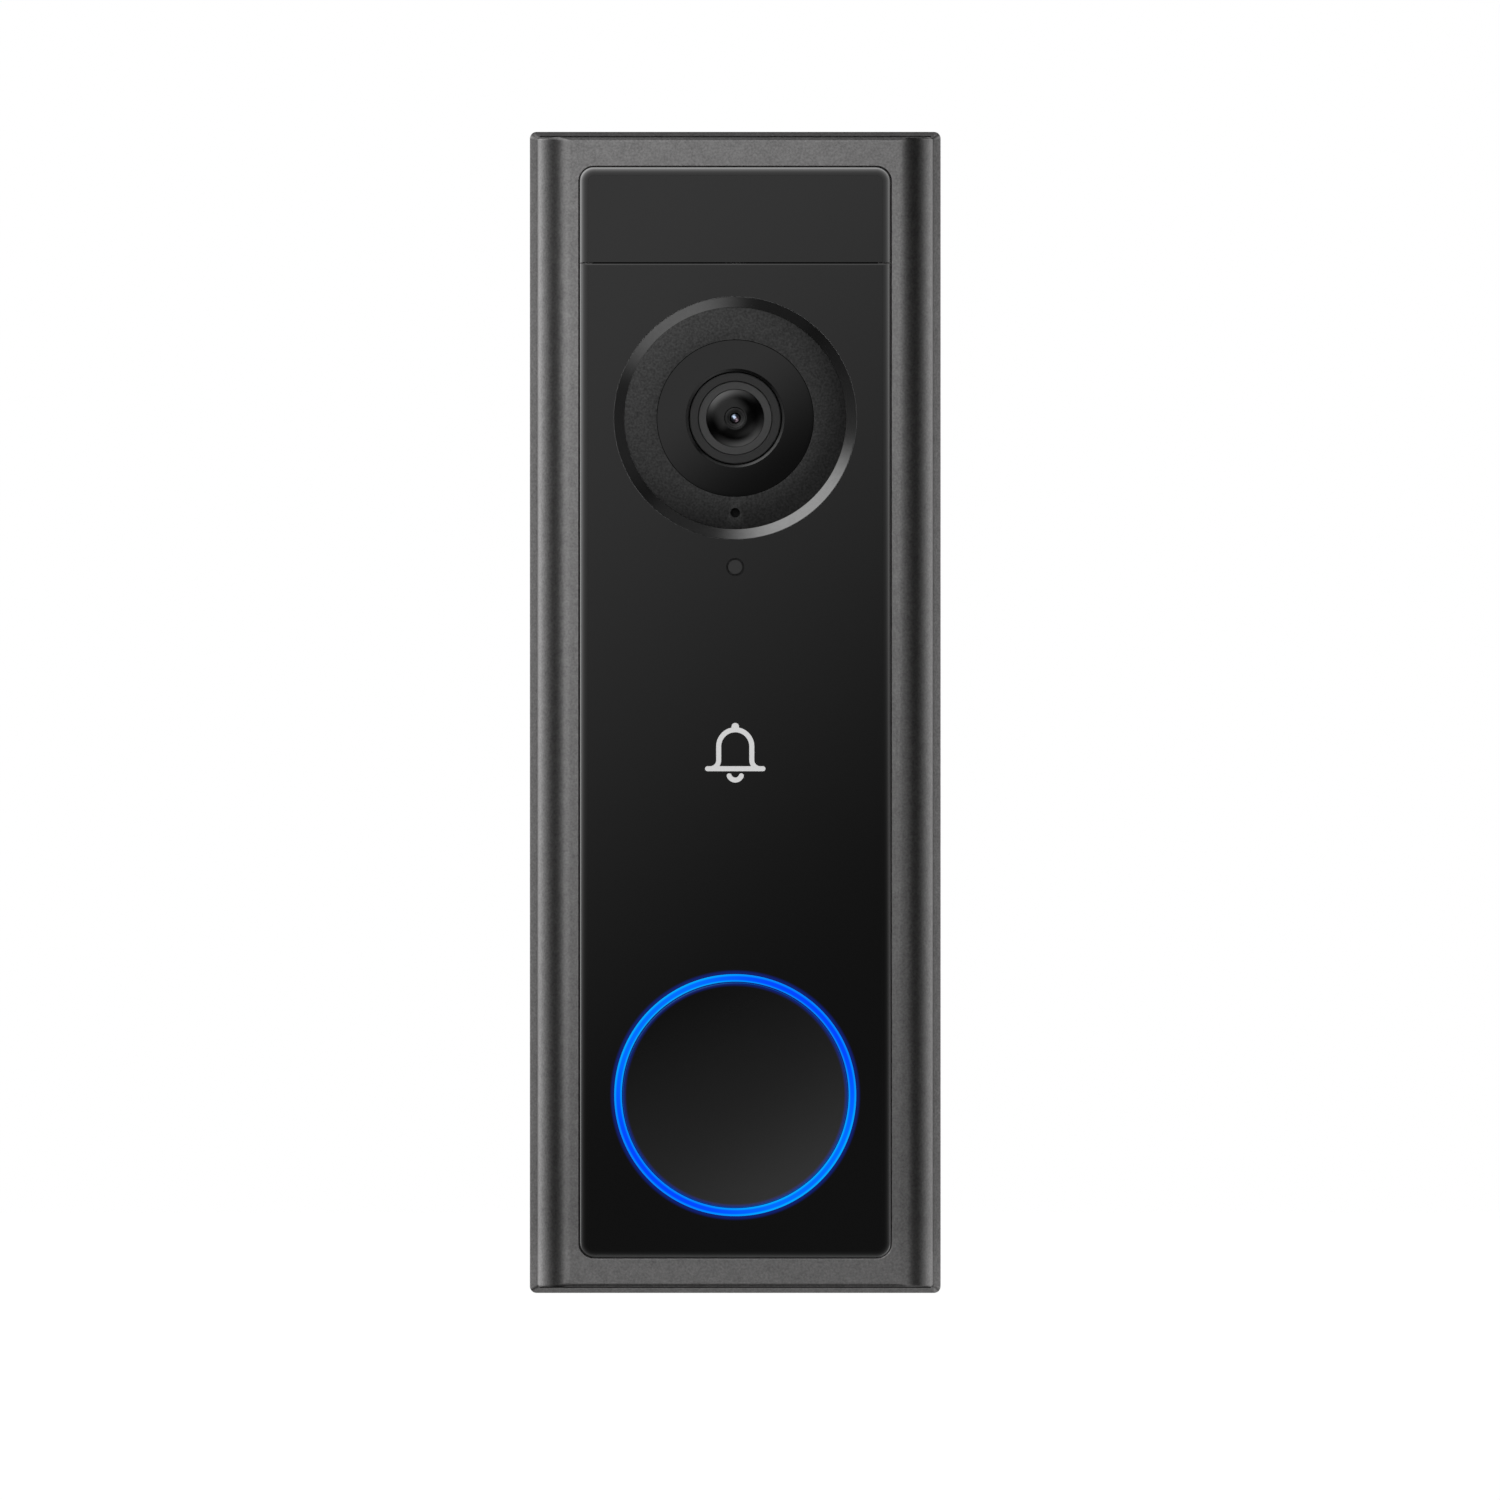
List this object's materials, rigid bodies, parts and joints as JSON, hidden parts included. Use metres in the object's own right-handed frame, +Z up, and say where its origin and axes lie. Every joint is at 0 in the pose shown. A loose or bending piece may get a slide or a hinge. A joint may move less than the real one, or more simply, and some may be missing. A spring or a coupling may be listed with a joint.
{
  "type": "video doorbell",
  "caption": "Slim battery video doorbell with a camera above a round lit bell button, hung on a flat wall bracket by a bar and a spring latch.",
  "frame": {"origin": "middle of the wall bracket's flat back, which lies on the wall", "axes": "+X to the right as seen from the front, +Y into the wall, +Z up"},
  "size_m": [0.046, 0.025, 0.13],
  "materials": {
    "painted_shell": "graphite satin paint with a fine metallic speckle",
    "gloss_black": "high gloss",
    "matte_black": "fine speckled matte",
    "black_plastic": "moulded matte",
    "bracket_plastic": "fine moulded grain",
    "polished_trim": "polished dark anodised",
    "optics": "coated glass",
    "light_guide": "diffuse light guide, lit blue",
    "circuit_board": "solder mask",
    "steel": "brushed",
    "brass": "plain",
    "rubber": "matte",
    "silicone": "translucent matte",
    "chip": "moulded",
    "led_package": "clear resin",
    "battery_wrap": "shrink wrap over a metal can"
  },
  "bodies": {
    "wall_bracket": {"wall_bracket": "bracket_plastic", "hang_bar": "steel", "latch_spring": "steel", "latch_screw": "steel"},
    "bell_button": {"button_cap": "gloss_black", "switch_plunger": "silicone"},
    "sync_key": {"sync_button": "rubber"},
    "usb_flap": {"usb_cover": "rubber"},
    "left_terminal": {"terminal_screw_left": "steel"},
    "right_terminal": {"terminal_screw_right": "steel"},
    "doorbell": {"front_housing": "painted_shell", "front_panel": "gloss_black", "sensor_window": "gloss_black", "ir_window": "gloss_black", "camera_face_ring": "matte_black", "camera_carrier": "black_plastic", "lens_barrel": "black_plastic", "lens_retainer": "black_plastic", "lens_holder": "black_plastic", "tact_switch": "black_plastic", "inner_chassis": "black_plastic", "speaker": "black_plastic", "rear_cover": "black_plastic", "terminal_block": "black_plastic", "camera_trim_ring": "polished_trim", "front_lens": "optics", "inner_lens": "optics", "light_sensor_window": "optics", "light_ring": "light_guide", "camera_board": "circuit_board", "ir_led_board": "circuit_board", "button_board": "circuit_board", "main_board": "circuit_board", "rear_board": "circuit_board", "microphone": "steel", "shield_can": "steel", "motion_sensor": "steel", "usb_port": "steel", "cover_screw_1": "steel", "cover_screw_2": "steel", "cover_screw_3": "steel", "cover_screw_4": "steel", "cover_screw_5": "steel", "cover_screw_6": "steel", "camera_flex": "brass", "wifi_antenna": "brass", "terminal_washer_left": "brass", "terminal_washer_right": "brass", "microphone_seal": "rubber", "housing_gasket": "rubber", "button_return_pad": "silicone", "image_sensor": "chip", "light_sensor": "chip", "sync_switch": "chip", "ir_led_left": "led_package", "ir_led_right": "led_package", "ring_led_1": "led_package", "ring_led_2": "led_package", "ring_led_3": "led_package", "battery_pack": "battery_wrap"}
  },
  "joints": [
    {"name": "doorbell_swing", "type": "hinge", "parent": "wall_bracket", "child": "doorbell", "pos_m": [0, -0.0026, 0.061], "axis": [-1, 0, 0], "range_deg": [0, 12], "deforming": ["latch_spring"]},
    {"name": "bell_press", "type": "slide", "parent": "doorbell", "child": "bell_button", "axis": [0, 1, 0], "range_m": [0, 0.0005], "stiffness_N_per_m": 2000, "springref_m": -0.0005, "deforming": ["button_return_pad"]},
    {"name": "sync_press", "type": "slide", "parent": "doorbell", "child": "sync_key", "axis": [0, -1, 0], "range_m": [0, 0.0004], "stiffness_N_per_m": 1500, "springref_m": -0.0005},
    {"name": "usb_flap_swing", "type": "hinge", "parent": "doorbell", "child": "usb_flap", "pos_m": [0.0075, -0.0037, 0.0424], "axis": [0, 0, -1], "range_deg": [0, 100]},
    {"name": "left_terminal_turn", "type": "hinge", "parent": "doorbell", "child": "left_terminal", "pos_m": [-0.00508, -0.004, 0.0274], "axis": [0, 1, 0], "continuous": true},
    {"name": "right_terminal_turn", "type": "hinge", "parent": "doorbell", "child": "right_terminal", "pos_m": [0.00508, -0.004, 0.0274], "axis": [0, 1, 0], "continuous": true}
  ]
}
